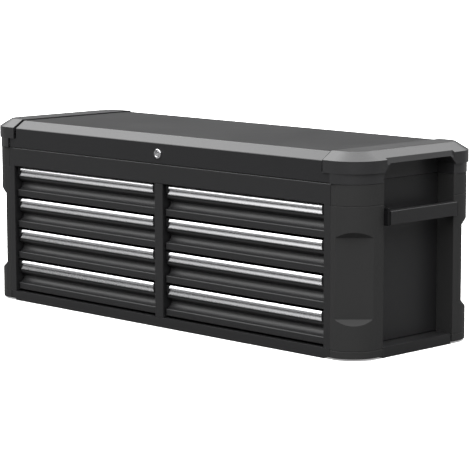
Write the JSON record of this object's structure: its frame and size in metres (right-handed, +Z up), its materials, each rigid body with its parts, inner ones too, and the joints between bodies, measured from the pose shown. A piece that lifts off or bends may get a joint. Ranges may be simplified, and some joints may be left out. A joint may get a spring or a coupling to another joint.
{
  "type": "tool drawer cabinet",
  "caption": "Wide black top tool chest: two banks of pull-out drawers under a gas-strut lid, with rounded corner columns and side carry handles.",
  "frame": {"origin": "middle of the chest's box, on the surface that it stands on", "axes": "+X along the front to the right, +Y from the front to the back, +Z up"},
  "size_m": [1.066, 0.3594, 0.382],
  "materials": {
    "powder_coated_steel": "fine textured black powder coat",
    "powder_coated_lid_steel": "satin dark grey powder coat",
    "moulded_black_plastic": "moulded, matt with a slight sheen",
    "moulded_lid_plastic": "moulded, satin",
    "black_tube_steel": "smooth black enamel",
    "brushed_aluminium": "extruded, brushed along its length",
    "zinc_plated_steel": "bright zinc plate",
    "chrome_plated_zinc": "polished chrome plate"
  },
  "bodies": {
    "chest": {"base_pan": "powder_coated_steel", "side_wall_left": "powder_coated_steel", "side_wall_right": "powder_coated_steel", "front_frame": "powder_coated_steel", "centre_divider": "powder_coated_steel", "back_panel": "powder_coated_steel", "till_floor": "powder_coated_steel", "column_front_left": "moulded_black_plastic", "column_front_right": "moulded_black_plastic", "column_rear_left": "moulded_black_plastic", "column_rear_right": "moulded_black_plastic", "side_handle_left": "powder_coated_steel", "side_handle_right": "powder_coated_steel", "hinge_case_leaf": "zinc_plated_steel", "hinge_pin": "zinc_plated_steel"},
    "lid": {"lid_panel": "powder_coated_lid_steel", "lid_end_left": "moulded_lid_plastic", "lid_end_right": "moulded_lid_plastic", "hinge_lid_leaf": "zinc_plated_steel", "lock_barrel": "chrome_plated_zinc"},
    "lock_plug": {"lock_plug": "chrome_plated_zinc"},
    "strut_left_cylinder": {"strut_left_cylinder": "black_tube_steel"},
    "strut_left_rod": {"strut_left_rod": "zinc_plated_steel"},
    "strut_right_cylinder": {"strut_right_cylinder": "black_tube_steel"},
    "strut_right_rod": {"strut_right_rod": "zinc_plated_steel"},
    "drawer_left_1": {"drawer_left_1_box": "powder_coated_steel", "drawer_left_1_pull": "brushed_aluminium"},
    "drawer_left_1_middle": {"drawer_left_1_slide_left": "zinc_plated_steel", "drawer_left_1_slide_right": "zinc_plated_steel"},
    "drawer_left_2": {"drawer_left_2_box": "powder_coated_steel", "drawer_left_2_pull": "brushed_aluminium"},
    "drawer_left_2_middle": {"drawer_left_2_slide_left": "zinc_plated_steel", "drawer_left_2_slide_right": "zinc_plated_steel"},
    "drawer_left_3": {"drawer_left_3_box": "powder_coated_steel", "drawer_left_3_pull": "brushed_aluminium"},
    "drawer_left_3_middle": {"drawer_left_3_slide_left": "zinc_plated_steel", "drawer_left_3_slide_right": "zinc_plated_steel"},
    "drawer_left_4": {"drawer_left_4_box": "powder_coated_steel", "drawer_left_4_pull": "brushed_aluminium"},
    "drawer_left_4_middle": {"drawer_left_4_slide_left": "zinc_plated_steel", "drawer_left_4_slide_right": "zinc_plated_steel"},
    "drawer_right_1": {"drawer_right_1_box": "powder_coated_steel", "drawer_right_1_pull": "brushed_aluminium"},
    "drawer_right_1_middle": {"drawer_right_1_slide_left": "zinc_plated_steel", "drawer_right_1_slide_right": "zinc_plated_steel"},
    "drawer_right_2": {"drawer_right_2_box": "powder_coated_steel", "drawer_right_2_pull": "brushed_aluminium"},
    "drawer_right_2_middle": {"drawer_right_2_slide_left": "zinc_plated_steel", "drawer_right_2_slide_right": "zinc_plated_steel"},
    "drawer_right_3": {"drawer_right_3_box": "powder_coated_steel", "drawer_right_3_pull": "brushed_aluminium"},
    "drawer_right_3_middle": {"drawer_right_3_slide_left": "zinc_plated_steel", "drawer_right_3_slide_right": "zinc_plated_steel"},
    "drawer_right_4": {"drawer_right_4_box": "powder_coated_steel", "drawer_right_4_pull": "brushed_aluminium"},
    "drawer_right_4_middle": {"drawer_right_4_slide_left": "zinc_plated_steel", "drawer_right_4_slide_right": "zinc_plated_steel"}
  },
  "joints": [
    {"name": "lid_hinge", "type": "hinge", "parent": "chest", "child": "lid", "pos_m": [0, 0.17615, 0.3243], "axis": [-1, 0, 0], "range_deg": [0, 80]},
    {"name": "lock_turn", "type": "hinge", "parent": "lid", "child": "lock_plug", "pos_m": [0, -0.16675, 0.3445], "axis": [0, 1, 0], "range_deg": [0, 90]},
    {"name": "strut_left_swing", "type": "hinge", "parent": "chest", "child": "strut_left_cylinder", "pos_m": [-0.466, 0.15325, 0.308], "axis": [-1, 0, 0], "range_deg": [0, 79.2]},
    {"name": "strut_left_extend", "type": "slide", "parent": "strut_left_cylinder", "child": "strut_left_rod", "axis": [0, -0.9427, 0.3336], "range_m": [0, 0.0362]},
    {"name": "strut_right_swing", "type": "hinge", "parent": "chest", "child": "strut_right_cylinder", "pos_m": [0.466, 0.15325, 0.308], "axis": [-1, 0, 0], "range_deg": [0, 79.2]},
    {"name": "strut_right_extend", "type": "slide", "parent": "strut_right_cylinder", "child": "strut_right_rod", "axis": [0, -0.9427, 0.3336], "range_m": [0, 0.0362]},
    {"name": "drawer_left_1_slide", "type": "slide", "parent": "chest", "child": "drawer_left_1", "axis": [0, -1, 0], "range_m": [0, 0.28]},
    {"name": "drawer_left_1_middle_slide", "type": "slide", "parent": "chest", "child": "drawer_left_1_middle", "axis": [0, -1, 0], "range_m": [0, 0.14]},
    {"name": "drawer_left_2_slide", "type": "slide", "parent": "chest", "child": "drawer_left_2", "axis": [0, -1, 0], "range_m": [0, 0.28]},
    {"name": "drawer_left_2_middle_slide", "type": "slide", "parent": "chest", "child": "drawer_left_2_middle", "axis": [0, -1, 0], "range_m": [0, 0.14]},
    {"name": "drawer_left_3_slide", "type": "slide", "parent": "chest", "child": "drawer_left_3", "axis": [0, -1, 0], "range_m": [0, 0.28]},
    {"name": "drawer_left_3_middle_slide", "type": "slide", "parent": "chest", "child": "drawer_left_3_middle", "axis": [0, -1, 0], "range_m": [0, 0.14]},
    {"name": "drawer_left_4_slide", "type": "slide", "parent": "chest", "child": "drawer_left_4", "axis": [0, -1, 0], "range_m": [0, 0.28]},
    {"name": "drawer_left_4_middle_slide", "type": "slide", "parent": "chest", "child": "drawer_left_4_middle", "axis": [0, -1, 0], "range_m": [0, 0.14]},
    {"name": "drawer_right_1_slide", "type": "slide", "parent": "chest", "child": "drawer_right_1", "axis": [0, -1, 0], "range_m": [0, 0.28]},
    {"name": "drawer_right_1_middle_slide", "type": "slide", "parent": "chest", "child": "drawer_right_1_middle", "axis": [0, -1, 0], "range_m": [0, 0.14]},
    {"name": "drawer_right_2_slide", "type": "slide", "parent": "chest", "child": "drawer_right_2", "axis": [0, -1, 0], "range_m": [0, 0.28]},
    {"name": "drawer_right_2_middle_slide", "type": "slide", "parent": "chest", "child": "drawer_right_2_middle", "axis": [0, -1, 0], "range_m": [0, 0.14]},
    {"name": "drawer_right_3_slide", "type": "slide", "parent": "chest", "child": "drawer_right_3", "axis": [0, -1, 0], "range_m": [0, 0.28]},
    {"name": "drawer_right_3_middle_slide", "type": "slide", "parent": "chest", "child": "drawer_right_3_middle", "axis": [0, -1, 0], "range_m": [0, 0.14]},
    {"name": "drawer_right_4_slide", "type": "slide", "parent": "chest", "child": "drawer_right_4", "axis": [0, -1, 0], "range_m": [0, 0.28]},
    {"name": "drawer_right_4_middle_slide", "type": "slide", "parent": "chest", "child": "drawer_right_4_middle", "axis": [0, -1, 0], "range_m": [0, 0.14]}
  ],
  "couplings": [
    {"joint": "strut_left_swing", "follows": "lid_hinge", "ratio": 0.98721},
    {"joint": "strut_left_extend", "follows": "lid_hinge", "m_per_rad": 0.025804},
    {"joint": "strut_right_swing", "follows": "lid_hinge", "ratio": 0.98721},
    {"joint": "strut_right_extend", "follows": "lid_hinge", "m_per_rad": 0.025804},
    {"joint": "drawer_left_1_middle_slide", "follows": "drawer_left_1_slide", "ratio": 0.5},
    {"joint": "drawer_left_2_middle_slide", "follows": "drawer_left_2_slide", "ratio": 0.5},
    {"joint": "drawer_left_3_middle_slide", "follows": "drawer_left_3_slide", "ratio": 0.5},
    {"joint": "drawer_left_4_middle_slide", "follows": "drawer_left_4_slide", "ratio": 0.5},
    {"joint": "drawer_right_1_middle_slide", "follows": "drawer_right_1_slide", "ratio": 0.5},
    {"joint": "drawer_right_2_middle_slide", "follows": "drawer_right_2_slide", "ratio": 0.5},
    {"joint": "drawer_right_3_middle_slide", "follows": "drawer_right_3_slide", "ratio": 0.5},
    {"joint": "drawer_right_4_middle_slide", "follows": "drawer_right_4_slide", "ratio": 0.5}
  ]
}
